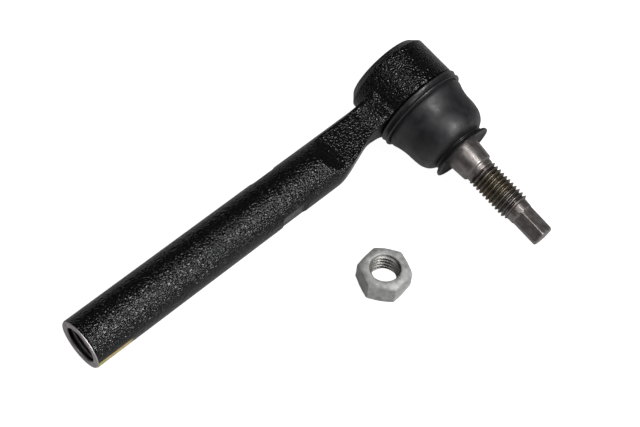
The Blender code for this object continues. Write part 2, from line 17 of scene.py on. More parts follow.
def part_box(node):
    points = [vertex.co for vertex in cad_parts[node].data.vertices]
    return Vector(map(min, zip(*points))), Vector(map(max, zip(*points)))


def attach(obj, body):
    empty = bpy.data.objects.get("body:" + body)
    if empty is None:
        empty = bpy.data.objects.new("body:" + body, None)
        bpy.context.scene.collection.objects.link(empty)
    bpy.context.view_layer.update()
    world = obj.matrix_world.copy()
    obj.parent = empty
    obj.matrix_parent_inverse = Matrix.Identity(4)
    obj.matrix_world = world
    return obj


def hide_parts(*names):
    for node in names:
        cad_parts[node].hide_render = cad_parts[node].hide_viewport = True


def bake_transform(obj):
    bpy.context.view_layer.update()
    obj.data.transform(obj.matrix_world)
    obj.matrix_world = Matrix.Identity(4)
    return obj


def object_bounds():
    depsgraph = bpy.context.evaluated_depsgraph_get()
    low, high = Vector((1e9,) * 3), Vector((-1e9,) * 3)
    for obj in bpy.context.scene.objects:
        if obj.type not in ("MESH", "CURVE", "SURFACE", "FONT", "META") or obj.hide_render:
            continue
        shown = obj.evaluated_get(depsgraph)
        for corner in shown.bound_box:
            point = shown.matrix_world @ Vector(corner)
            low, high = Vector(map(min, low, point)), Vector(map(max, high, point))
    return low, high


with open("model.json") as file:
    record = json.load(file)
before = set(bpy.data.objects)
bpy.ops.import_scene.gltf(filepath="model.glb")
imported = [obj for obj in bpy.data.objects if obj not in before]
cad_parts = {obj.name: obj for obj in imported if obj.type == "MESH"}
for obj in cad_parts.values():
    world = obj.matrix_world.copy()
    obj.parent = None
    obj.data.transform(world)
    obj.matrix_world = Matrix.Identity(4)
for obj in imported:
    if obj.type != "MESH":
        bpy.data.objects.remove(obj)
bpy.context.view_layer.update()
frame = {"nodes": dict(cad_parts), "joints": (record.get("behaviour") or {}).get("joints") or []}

MM = 0.001
FORGING_MESH = 0.56  # how fine the skins are
NUT_MESH = 0.3

ROD_LENGTH = 189.0
ROD_RADIUS = 11.6
ROD_END_ROUND = 0.3
END_RING_RADIUS = 11.35
END_RING_DEPTH = 0.5
THREAD_ROOT = 9.0  # M18x1.5 inside the rod
THREAD_CREST = 8.2
ROD_PITCH = 1.5
ROD_THREAD_DEPTH = 42.0
BORE_DEPTH = 79.0
SLEEVE_WALL = 0.6
FLAT_CENTRE = -81.3
FLAT_HALF_LENGTH = 6.85
FLAT_HALF_WIDTH = 10.4
FLAT_CUTTER_ROUND = 0.9
MILLED_EDGE = 0.35
FORGED_EDGE = 0.7
NECK_HALF_HEIGHT = 7.0
SCOOP_START = -48.0
SCOOP_RADIUS = 16.0
HOUSING_FILLET = 10.0
NECK_BACK = 11.2
WEB_START = -38.0
WEB_HALF_HEIGHT = 11.55
WEB_EASE = 2.0
WEB_FACING = (-0.1803, 0.9836)  # X and Y of the way the neck's slanted back faces
CUT_START = -52.5
CUT_EDGE = 1.2
CUT_FACING = (0.3358, -0.9419)  # X and Y of the way the slanted cut under the neck faces
DAB_START = -189.4  # the inspection paint, near the open end and under the rod
DAB_END = -170.5
DAB_ANGLE = 190.0
DAB_HALF_SPREAD = 22.0

HOUSING_RADIUS = 21.2
CAP_RADIUS = 20.8
SHOULDER = 3.4
CAP_STEP = -16.2
RIM_STEP = 0.35
RIM_RADIUS = 18.1
RIM_TOP = -19.5
RIM_INNER_RADIUS = 16.1
SPIGOT_RADIUS = 17.6
SPIGOT_END = 9.4
MOUTH_RADIUS = 11.7
CAVITY_RADIUS = 16.1
PLATE_RADIUS = 17.7
PLATE_TOP = -16.4
PLATE_BACK = -18.1

BALL_RADIUS = 13.0
BALL_FLAT_RADIUS = 4.5
NECK_RADIUS = 6.5
TAPER_RADIUS = 8.42
TAPER_START = 34.0
TAPER_END = 42.6
TAPER_END_RADIUS = 7.72
RELIEF_RADIUS = 6.57
RELIEF_END = 45.9
STUD_ROOT = 5.75  # M14x2 on the stud and in the nut
STUD_PITCH = 2.0
STUD_THREAD_START = 45.05
STUD_THREAD_LENGTH = 23.8
STUD_ROOT_END = 69.6
WAX_START = 48.0
WAX_END = 64.5
PILOT_RADIUS = 5.72
HEX_START = 72.3
HEX_HALF_FLATS = 5.0
HEX_RUNOUT = 1.5
HEX_PROUD = 0.05
HEX_TURN = math.radians(-8.2)
STUD_END = 85.8
TIP_ROUND = 1.3

NUT_FLATS = 20.9
NUT_HEIGHT = 11.0
NUT_TURN = math.radians(8.3)
NUT_HOLE_OFFSET = (-0.33, -0.03)
NUT_CHAMFER = math.radians(31)
NUT_TOP_CIRCLE = 9.1
NUT_UNDER_CIRCLE = 10.2
NUT_ROOT = 7.15
NUT_THREAD_START = 0.9
NUT_HOLE = (  # station and radius, from under the nut to above it
    (-1.0, 6.9),
    (0.0, 6.3),
    (0.4, 6.02),
    (1.1, 6.02),
    (1.5, NUT_ROOT),
    (9.5, NUT_ROOT),
    (9.9, 6.2),
    (11.0, 7.3),
    (12.0, 8.4),
)
NUT_DENTS = (  # place, size and depth
    ((3.2, 8.6, 10.6), 1.5, 0.30),
    ((-2.5, -9.8, 10.2), 1.2, 0.28),
    ((9.4, -1.8, 10.2), 1.4, 0.22),
    ((-7.6, 5.2, 10.6), 1.1, 0.22),
    ((3.6, -10.1, 3.0), 1.6, 0.20),
    ((10.4, -5.2, 8.4), 1.0, 0.30),
)

VIEW_TURN = math.radians(-49.73)
VIEW_LIFT = math.radians(53.38)
VIEW_ROLL = math.radians(7.85)
VIEW_DISTANCE = 724.99
VIEW_ASIDE = -41.13
VIEW_DOWN = -51.62
LENS = 90.84

joints = {joint["name"]: joint for joint in frame["joints"]}
ball = Vector(joints["stud_spin"]["pos_m"])
rod_way = Vector(joints["swing_across"]["axis"]).normalized()
up_way = Vector(joints["swing_along"]["axis"]).normalized()
cap_way = -Vector(joints["stud_spin"]["axis"]).normalized()
lie = Matrix.Translation(ball) @ Matrix((rod_way, cap_way, up_way)).transposed().to_4x4()
part_place = lie @ Matrix.Scale(MM, 4)
stud_place = part_place @ Matrix.Rotation(math.pi / 2, 4, "X")
rod_place = part_place @ Matrix.Rotation(math.pi / 2, 4, "Y")
nut_low, nut_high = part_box("stud_nut")
nut_spot = Vector(((nut_low.x + nut_high.x) / 2, (nut_low.y + nut_high.y) / 2, 0.0))
nut_place = Matrix.Translation(nut_spot) @ Matrix.Rotation(NUT_TURN, 4, "Z") @ Matrix.Scale(MM, 4)


# Finishes


class Finish:
    """A Principled material and short ways to add what varies over its surface."""

    def __init__(self, name, colour, roughness, metallic=0.0):
        self.material = bpy.data.materials.new(name)
        self.material.use_nodes = True
        self.tree = self.material.node_tree
        self.shader = self.tree.nodes["Principled BSDF"]
        self.set("Base Color", (*colour, 1.0))
        self.set("Roughness", roughness)
        self.set("Metallic", metallic)
        self.here = self.add("ShaderNodeTexCoord").outputs["Object"]

    def add(self, kind, **settings):
        node = self.tree.nodes.new(kind)
        for key, value in settings.items():
            setattr(node, key, value)
        return node

    def set(self, name, value):
        self.shader.inputs[name].default_value = value

    def link(self, output, target):
        self.tree.links.new(output, target)

    def own_frame(self, place):
        """Object coordinates seen from a place with no scale, still in metres."""
        turn = self.add("ShaderNodeMapping", vector_type="TEXTURE")
        self.link(self.here, turn.inputs["Vector"])
        turn.inputs["Location"].default_value = place.translation
        turn.inputs["Rotation"].default_value = place.to_euler()
        return turn.outputs["Vector"]

    def stretched(self, vector, scale):
        node = self.add("ShaderNodeMapping")
        self.link(vector, node.inputs["Vector"])
        node.inputs["Scale"].default_value = scale
        return node.outputs["Vector"]

    def clouds(self, scale, detail=2.0, roughness=0.5, vector=None):
        node = self.add("ShaderNodeTexNoise")
        self.link(vector or self.here, node.inputs["Vector"])
        node.inputs["Scale"].default_value = scale
        node.inputs["Detail"].default_value = detail
        node.inputs["Roughness"].default_value = roughness
        return node.outputs["Fac"]

    def cells(self, scale):
        node = self.add("ShaderNodeTexVoronoi")
        self.link(self.here, node.inputs["Vector"])
        node.inputs["Scale"].default_value = scale
        return node.outputs["Distance"]

    def ramp(self, value, low, high, low_value=0.0, high_value=1.0):
        node = self.add("ShaderNodeMapRange", interpolation_type="SMOOTHSTEP")
        bounds = {"From Min": low, "From Max": high, "To Min": low_value, "To Max": high_value}
        for name, number in bounds.items():
            node.inputs[name].default_value = number
        self.link(value, node.inputs["Value"])
        return node.outputs["Result"]

    def math(self, operation, first, second=0.0):
        node = self.add("ShaderNodeMath", operation=operation)
        for socket, value in zip(node.inputs, (first, second)):
            self.feed(socket, value)
        return node.outputs["Value"]

    def mixed(self, share, first, second):
        """A colour between two, each a colour or an output."""
        node = self.add("ShaderNodeMix", data_type="RGBA")
        self.feed(node.inputs[0], share)
        for socket, value in ((node.inputs[6], first), (node.inputs[7], second)):
            self.feed(socket, value if isinstance(value, bpy.types.NodeSocket) else (*value, 1.0))
        return node.outputs[2]

    def feed(self, socket, value):
        if isinstance(value, bpy.types.NodeSocket):
            self.link(value, socket)
        else:
            socket.default_value = value

    def attribute(self, name):
        return self.add("ShaderNodeAttribute", attribute_name=name).outputs["Fac"]

    def relief(self, height, depth, strength=1.0, under=None):
        node = self.add("ShaderNodeBump")
        node.inputs["Strength"].default_value = strength
        node.inputs["Distance"].default_value = depth
        self.link(height, node.inputs["Height"])
        if under:
            self.link(under, node.inputs["Normal"])
        return node.outputs["Normal"]

    def use(self, name, output):
        self.link(output, self.shader.inputs[name])


def forge_paint():
    """Gloss black paint over a scaly forged skin, with a dab of inspection paint near the open end."""
    paint = Finish("forge_paint", (0.006, 0.006, 0.007), 0.2)
    paint.set("IOR", 1.38)
    grain = paint.clouds(1350.0, 0.0)
    skin = paint.relief(grain, 0.00044, 1.0)
    paint.use("Normal", skin)
    paint.use("Roughness", paint.ramp(paint.clouds(300.0, 3.0), 0.3, 0.7, 0.1, 0.2))
    tint = paint.mixed(paint.ramp(grain, 0.35, 0.75), (0.003, 0.003, 0.0033), (0.008, 0.0078, 0.0085))
    dab = paint.math("MULTIPLY", paint.attribute("dab"), paint.ramp(paint.clouds(260.0, 3.0), 0.3, 0.42))
    dab_share = paint.ramp(paint.clouds(150.0, 1.0), 0.4, 0.6)
    dab_tint = paint.mixed(dab_share, (0.44, 0.47, 0.09), (0.60, 0.44, 0.15))
    paint.use("Base Color", paint.mixed(dab, tint, dab_tint))
    return paint.material


def machined_steel():
    """Bare turned steel, with fine rings round the rod's axis and faint stains; the bore and its thread
    roots are painted near black as shade.
    """
    steel = Finish("machined_steel", (0.50, 0.48, 0.48), 0.45, 0.6)
    own = steel.own_frame(lie)
    apart = steel.add("ShaderNodeSeparateXYZ")
    steel.link(own, apart.inputs[0])
    across = steel.math("POWER", apart.outputs["Y"], 2.0)
    above = steel.math("POWER", apart.outputs["Z"], 2.0)
    radius = steel.math("SQRT", steel.math("ADD", across, above))
    rings = steel.math("SINE", steel.math("MULTIPLY", radius, 26000.0))
    steel.use("Normal", steel.relief(rings, 0.00002, 0.5))
    stain = steel.ramp(steel.clouds(420.0, 4.0), 0.4, 0.7)
    tone = steel.mixed(stain, (0.60, 0.565, 0.575), (0.44, 0.40, 0.40))
    # Painted shade: the rod's bore and thread roots are coloured near black, where shade falls inside.
    steel.use("Base Color", steel.mixed(steel.attribute("painted_recess_shade"), tone, (0.022, 0.02, 0.02)))
    steel.use("Roughness", steel.ramp(steel.clouds(700.0, 3.0), 0.3, 0.7, 0.38, 0.55))
    return steel.material


def phosphated_steel():
    """Dull brown-gray stud steel: lengthwise streaks on the taper and yellow locking wax in the thread."""
    steel = Finish("phosphated_steel", (0.22, 0.20, 0.19), 0.38, 0.85)
    own = steel.own_frame(lie)
    streak = steel.clouds(900.0, 4.0, 0.6, steel.stretched(own, (1.0, 0.35, 1.0)))
    mottle = steel.clouds(260.0, 3.0, 0.6)
    tone = steel.mixed(steel.ramp(mottle, 0.3, 0.7), (0.19, 0.17, 0.16), (0.30, 0.275, 0.265))
    # Painted shade: the thread's roots are coloured near black.
    tone = steel.mixed(steel.attribute("painted_recess_shade"), tone, (0.035, 0.028, 0.024))
    wax = steel.math("MULTIPLY", steel.attribute("wax"), steel.ramp(streak, 0.3, 0.65, 0.05, 0.6))
    steel.use("Base Color", steel.mixed(wax, tone, (0.24, 0.19, 0.075)))
    steel.use("Roughness", steel.ramp(streak, 0.25, 0.75, 0.27, 0.47))
    steel.use("Normal", steel.relief(streak, 0.00005, 0.45))
    return steel.material


def boot_rubber():
    """Soft black moulded rubber with a faint bloom, and painted shade making the lip near black."""
    rubber = Finish("boot_rubber", (0.016, 0.0145, 0.0165), 0.46)
    rubber.set("Sheen Weight", 0.04)
    rubber.set("Sheen Roughness", 0.5)
    bloom = rubber.ramp(rubber.clouds(130.0, 4.0, 0.55), 0.35, 0.75)
    tone = rubber.mixed(bloom, (0.010, 0.009, 0.0105), (0.021, 0.019, 0.0215))
    # Painted shade: the lip is coloured near black.
    rubber.use("Base Color", rubber.mixed(rubber.attribute("painted_lip_shade"), tone, (0.0025, 0.0025, 0.003)))
    rubber.use("Roughness", rubber.ramp(rubber.clouds(240.0, 3.0), 0.3, 0.7, 0.36, 0.55))
    grain = rubber.relief(rubber.clouds(2600.0, 2.0), 0.00006, 0.35)
    rubber.use("Normal", rubber.relief(rubber.clouds(90.0, 2.0), 0.0012, 0.3, grain))
    return rubber.material


def band_coating():
    """Black coated spring band."""
    coat = Finish("band_coating", (0.016, 0.016, 0.017), 0.34)
    coat.use("Roughness", coat.ramp(coat.clouds(500.0, 3.0), 0.3, 0.7, 0.26, 0.44))
    coat.use("Normal", coat.relief(coat.clouds(900.0, 2.0), 0.00005, 0.4))
    return coat.material


def dull_zinc():
    """Thick mottled zinc, handled and dented."""
    zinc = Finish("dull_zinc", (0.45, 0.45, 0.43), 0.55, 0.25)
    mottle = zinc.clouds(330.0, 5.0, 0.62)
    patch = zinc.cells(420.0)
    blend = zinc.math("ADD", zinc.math("MULTIPLY", mottle, 0.75), zinc.math("MULTIPLY", patch, 0.3))
    tone = zinc.mixed(zinc.ramp(blend, 0.34, 0.72), (0.31, 0.315, 0.30), (0.47, 0.47, 0.455))
    # Painted shade: the wall of the hole, below its chamfer, is coloured near black.
    zinc.use("Base Color", zinc.mixed(zinc.attribute("painted_hole_shade"), tone, (0.035, 0.034, 0.03)))
    zinc.use("Roughness", zinc.ramp(mottle, 0.3, 0.7, 0.48, 0.7))
    pits = zinc.relief(zinc.clouds(1500.0, 3.0), 0.0001, 0.5)
    zinc.use("Normal", zinc.relief(zinc.clouds(420.0, 3.0), 0.0004, 0.4, pits))
    return zinc.material


def thread_zinc():
    """The thread inside the nut, cut after plating, with painted shade making it near black towards its
    roots.
    """
    zinc = Finish("thread_zinc", (0.24, 0.235, 0.22), 0.42, 0.6)
    mottle = zinc.clouds(500.0, 3.0)
    tone = zinc.mixed(zinc.ramp(mottle, 0.3, 0.7), (0.22, 0.215, 0.20), (0.36, 0.355, 0.34))
    # Painted shade: the thread is coloured near black towards its roots, inside the hole.
    zinc.use("Base Color", zinc.mixed(zinc.attribute("painted_recess_shade"), tone, (0.03, 0.029, 0.026)))
    return zinc.material


def natural_acetal():
    """Off-white bearing plastic, a little greasy."""
    plastic = Finish("natural_acetal", (0.75, 0.73, 0.66), 0.4)
    plastic.use("Roughness", plastic.ramp(plastic.clouds(300.0, 3.0), 0.3, 0.7, 0.28, 0.5))
    plastic.set("Subsurface Weight", 0.05)
    return plastic.material


# Shaping


def arc(centre, radius, start, end, count):
    """Points on a circle, as (radius, station), both ends included."""
    angles = [start + (end - start) * i / count for i in range(count + 1)]
    return [(centre[0] + radius * math.cos(a), centre[1] + radius * math.sin(a)) for a in angles]


def eased(points, closed=True, steps=4):
    """Rounds the corners of an outline whose points are (radius, station, corner round)."""
    eased_points = []
    count = len(points)
    for i, (r, z, ease) in enumerate(points):
        here = Vector((r, z))
        if ease == 0.0 or (not closed and i in (0, count - 1)):
            eased_points.append((r, z))
            continue
        before = Vector(points[i - 1][:2]) - here
        after = Vector(points[(i + 1) % count][:2]) - here
        reach = min(ease, before.length * 0.49, after.length * 0.49)
        first = here + before.normalized() * reach
        last = here + after.normalized() * reach
        for k in range(steps + 1):
            t = k / steps
            point = first * (1 - t) ** 2 + here * 2 * t * (1 - t) + last * t * t
            eased_points.append((point.x, point.y))
    return eased_points


def filled_in(points, step, closed=True):
    """Adds points along the long sides of an outline."""
    filled = []
    ends = points[1:] + points[:1] if closed else points[1:]
    for (r, z), (r2, z2) in zip(points, ends):
        count = max(1, round(math.hypot(r2 - r, z2 - z) / step))
        filled += [(r + (r2 - r) * k / count, z + (z2 - z) * k / count) for k in range(count)]
    if not closed:
        filled.append(points[-1])
    return filled


def turned_mesh(name, outline, columns, closed=True, bend=None):
    """Turns an outline of (radius, station) points about Z.

    bend(radius, angle, station), where given, says how wide a point stands.
    """
    work = bmesh.new()
    rows = []
    for r, z in outline:
        if abs(r) < 1e-9:
            rows.append([work.verts.new((0.0, 0.0, z))] * columns)
            continue
        row = []
        for j in range(columns):
            angle = 2 * math.pi * j / columns
            wide = bend(r, angle, z) if bend else r
            row.append(work.verts.new((wide * math.cos(angle), wide * math.sin(angle), z)))
        rows.append(row)
    pairs = list(zip(rows, rows[1:]))
    if closed:
        pairs.append((rows[-1], rows[0]))
    for low, high in pairs:
        for j in range(columns):
            k = (j + 1) % columns
            corners = []
            for vert in (low[j], low[k], high[k], high[j]):
                if vert not in corners:
                    corners.append(vert)
            if len(corners) > 2:
                work.faces.new(corners)
    bmesh.ops.recalc_face_normals(work, faces=work.faces)
    mesh = bpy.data.meshes.new(name)
    work.to_mesh(mesh)
    work.free()
    return mesh


def joined(name, meshes):
    """One mesh out of several that have the same units and frame."""
    work = bmesh.new()
    for mesh in meshes:
        work.from_mesh(mesh)
    mesh = bpy.data.meshes.new(name)
    work.to_mesh(mesh)
    work.free()
    return mesh


def merged(mesh, distance):
    """Joins the points of a mesh that lie together, and turns its faces outwards."""
    work = bmesh.new()
    work.from_mesh(mesh)
    bmesh.ops.remove_doubles(work, verts=work.verts, dist=distance)
    bmesh.ops.recalc_face_normals(work, faces=work.faces)
    work.to_mesh(mesh)
    work.free()
    return mesh


def piece(name, mesh, place, finish, body=None, stands_for=(), sharp=40.0):
    """Lays a finished mesh in its place and makes it an object."""
    mesh.name = name
    mesh.transform(place)
    mesh.materials.clear()
    mesh.materials.append(finish)
    mesh.shade_smooth()
    mesh.set_sharp_from_angle(angle=math.radians(sharp))
    obj = bpy.data.objects.new(name, mesh)
    bpy.context.scene.collection.objects.link(obj)
    if body:
        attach(obj, body)
    if stands_for:
        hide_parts(*stands_for)
    return obj


def evaluated(obj):
    """The plain mesh that an object's modifiers make."""
    bpy.context.view_layer.update()
    graph = bpy.context.evaluated_depsgraph_get()
    return bpy.data.meshes.new_from_object(obj.evaluated_get(graph))


def even_skin(mesh, voxel):
    """A closed mesh built again from small, even faces."""
    obj = bpy.data.objects.new("skin", mesh)
    bpy.context.scene.collection.objects.link(obj)
    remesh = obj.modifiers.new("remesh", "REMESH")
    remesh.mode = "VOXEL"
    remesh.voxel_size = voxel
    skin = evaluated(obj)
    bpy.data.objects.remove(obj)
    return skin


def points_of(mesh):
    """The points of a mesh, one row each."""
    points = np.zeros(len(mesh.vertices) * 3)
    mesh.vertices.foreach_get("co", points)
    return points.reshape(-1, 3)


def put_points(mesh, points):
    """Moves the points of a mesh to new places."""
    mesh.vertices.foreach_set("co", points.astype(np.float32).ravel())
    mesh.update()


def ramped(value, start, length):
    """0 up to a start, then evenly up to 1 over a length."""
    return np.clip((value - start) / length, 0.0, 1.0)


def mark(mesh, name, amount):
    """Gives each point of a mesh an amount that its finish reads."""
    layer = mesh.attributes.new(name, "FLOAT", "POINT")
    layer.data.foreach_set("value", amount.astype(np.float32))


def steepness(shape, points):
    """The slope of a distance, by small steps each way."""
    step = 0.02
    slope = np.zeros_like(points)
    for i in range(3):
        offset = np.zeros(3)
        offset[i] = step
        slope[:, i] = (shape(points + offset) - shape(points - offset)) / (2 * step)
    return slope


def onto(shape, points, rounds=4, reach=0.8):
    """Moves points onto the surface where shape is zero."""
    points = points.copy()
    for _ in range(rounds):
        distance = shape(points)
        slope = steepness(shape, points)
        size = np.maximum((slope**2).sum(axis=1), 0.05)
        move = np.clip(-distance / size, -reach, reach)
        points += move[:, None] * slope
    return points


def relaxed(mesh, points, share=0.5):
    """Points drawn towards the middle of their neighbours."""
    edges = np.zeros(len(mesh.edges) * 2, dtype=np.int64)
    mesh.edges.foreach_get("vertices", edges)
    edges = edges.reshape(-1, 2)
    total = np.zeros_like(points)
    count = np.zeros(len(points))
    for a, b in ((0, 1), (1, 0)):
        np.add.at(total, edges[:, a], points[edges[:, b]])
        np.add.at(count, edges[:, a], 1)
    return points + share * (total / np.maximum(count, 1)[:, None] - points)


def settled(mesh, shape, passes=3):
    """Lays an even skin onto a shape, with its points spread evenly."""
    points = onto(shape, points_of(mesh))
    for _ in range(passes):
        points = onto(shape, relaxed(mesh, points), 2, 0.3)
    put_points(mesh, points)
    return mesh


# Distances to solids, negative inside. They are what the forged and plated pieces are settled on.


def soft_least(a, b, ease):
    """Either solid, with the corner between them filled."""
    near = np.maximum(ease - np.abs(a - b), 0.0) / ease
    return np.minimum(a, b) - near * near * ease / 4


def soft_most(a, b, ease):
    """What two solids share, with its edge eased."""
    return -soft_least(-a, -b, ease)


def round_edge(a, b, radius):
    """What two solids share, with a true round on its edge."""
    corner = np.hypot(np.maximum(radius + a, 0), np.maximum(radius + b, 0))
    return np.minimum(-radius, np.maximum(a, b)) + corner


def round_corner(a, b, radius):
    """Either solid, with a true fillet between them."""
    corner = np.hypot(np.maximum(radius - a, 0), np.maximum(radius - b, 0))
    return np.maximum(radius, np.minimum(a, b)) - corner


def outline_distance(r, z, outline):
    """Signed distance to a closed outline."""
    nearest = np.full(r.shape, np.inf)
    inside = np.zeros(r.shape, dtype=bool)
    for (ar, az), (br, bz) in zip(outline, outline[1:] + outline[:1]):
        er, ez = br - ar, bz - az
        wr, wz = r - ar, z - az
        share = np.clip((wr * er + wz * ez) / (er * er + ez * ez), 0.0, 1.0)
        nearest = np.minimum(nearest, (wr - er * share) ** 2 + (wz - ez * share) ** 2)
        crosses = (az > z) != (bz > z)
        if bz != az:
            inside ^= crosses & (r < ar + (z - az) * er / ez)
    return np.where(inside, -1.0, 1.0) * np.sqrt(nearest)


HOUSING_OUTLINE = eased(
    [
        (-30.0, SPIGOT_END, 0.0),
        (SPIGOT_RADIUS, SPIGOT_END, 0.8),
        (SPIGOT_RADIUS, SHOULDER, 0.0),
        (HOUSING_RADIUS, SHOULDER, 1.0),
        (CAP_RADIUS, CAP_STEP, 0.5),
        (CAP_RADIUS - RIM_STEP, CAP_STEP - 0.2, 0.3),
        (RIM_RADIUS, RIM_TOP + 0.5, 0.4),
        (RIM_RADIUS - 0.5, RIM_TOP, 0.4),
        (-30.0, RIM_TOP, 0.0),
    ]
)
CAVITY_OUTLINE = [
    (-30.0, SPIGOT_END + 1.0),
    (MOUTH_RADIUS + 1.8, SPIGOT_END + 1.0),
    (MOUTH_RADIUS, 7.6),
    (MOUTH_RADIUS, 6.8),
    (CAVITY_RADIUS, 6.8),
    (CAVITY_RADIUS, PLATE_TOP + 0.3),
    (PLATE_RADIUS + 0.2, PLATE_TOP + 0.3),
    (PLATE_RADIUS + 0.2, PLATE_BACK - 0.2),
    (RIM_INNER_RADIUS, PLATE_BACK - 0.2),
    (RIM_INNER_RADIUS + 0.9, RIM_TOP - 1.0),
    (-30.0, RIM_TOP - 1.0),
]


def forging(points):
    """The rod, its neck and the ball housing."""
    x, y, z = points.T
    high = np.abs(z)
    from_axis = np.hypot(y, z)
    end = -ROD_LENGTH + END_RING_DEPTH * 0.8
    rod = round_edge(from_axis - ROD_RADIUS, end - x, ROD_END_ROUND)
    rod = np.maximum(rod, x + HOUSING_RADIUS / 2)
    web = np.maximum(y - NECK_BACK, -SHOULDER + 0.1 - y)
    web = np.maximum(web, WEB_FACING[0] * (x + HOUSING_RADIUS) + WEB_FACING[1] * (y - NECK_BACK))
    web = np.maximum(web, np.maximum(WEB_START - x, x + HOUSING_RADIUS / 2))
    web = np.maximum(web, high - WEB_HALF_HEIGHT)
    solid = soft_least(rod, web, WEB_EASE)

    slant = CUT_FACING[0] * (x - CUT_START) + CUT_FACING[1] * (y + ROD_RADIUS)
    side = soft_least(slant, -SHOULDER - y, 1.0)
    solid = soft_most(solid, side, CUT_EDGE)
    floor = np.where(x > SCOOP_START, high - NECK_HALF_HEIGHT, 0.0)
    runout = SCOOP_RADIUS - np.hypot(x - SCOOP_START, high - NECK_HALF_HEIGHT - SCOOP_RADIUS)
    floor = np.where(x > SCOOP_START, floor, runout)
    from_stud = np.hypot(x, z)
    scoop = round_corner(floor, from_stud - HOUSING_RADIUS, HOUSING_FILLET)
    solid = round_edge(solid, scoop, FORGED_EDGE)

    station = -y
    housing = outline_distance(from_stud, station, HOUSING_OUTLINE)
    solid = soft_least(solid, housing, 0.5)
    cavity = outline_distance(from_stud, station, CAVITY_OUTLINE)
    solid = soft_most(solid, -cavity, 0.3)

    bore = np.maximum(from_axis - THREAD_ROOT - SLEEVE_WALL - 0.05, x + ROD_LENGTH - BORE_DEPTH - 1.0)
    solid = np.maximum(solid, -bore)
    outside_flat = np.abs(x - FLAT_CENTRE) - FLAT_HALF_LENGTH
    milled = round_edge(FLAT_HALF_WIDTH - np.abs(y), outside_flat, FLAT_CUTTER_ROUND)
    return soft_most(solid, -milled, MILLED_EDGE)


def plated_nut(points):
    """A thickly plated hexagon nut, without its thread."""
    x, y, z = points.T
    from_axis = np.hypot(x, y)
    sides = np.abs(y) - NUT_FLATS / 2
    for angle in (math.radians(30), math.radians(150)):
        sides = soft_most(sides, np.abs(x * math.cos(angle) + y * math.sin(angle)) - NUT_FLATS / 2, 0.4)
    up, out = math.cos(NUT_CHAMFER), math.sin(NUT_CHAMFER)
    top = (z - NUT_HEIGHT) * up + (from_axis - NUT_TOP_CIRCLE) * out
    under = -z * up + (from_axis - NUT_UNDER_CIRCLE) * out
    solid = soft_most(soft_most(sides, top, 0.7), under, 0.5)
    solid = soft_most(soft_most(solid, z - NUT_HEIGHT, 0.5), -z, 0.4)
    from_hole = np.hypot(x - NUT_HOLE_OFFSET[0], y - NUT_HOLE_OFFSET[1])
    hole = from_hole - np.interp(z, *zip(*NUT_HOLE))
    return soft_most(solid, -hole * 0.8, 0.35)


# Threads


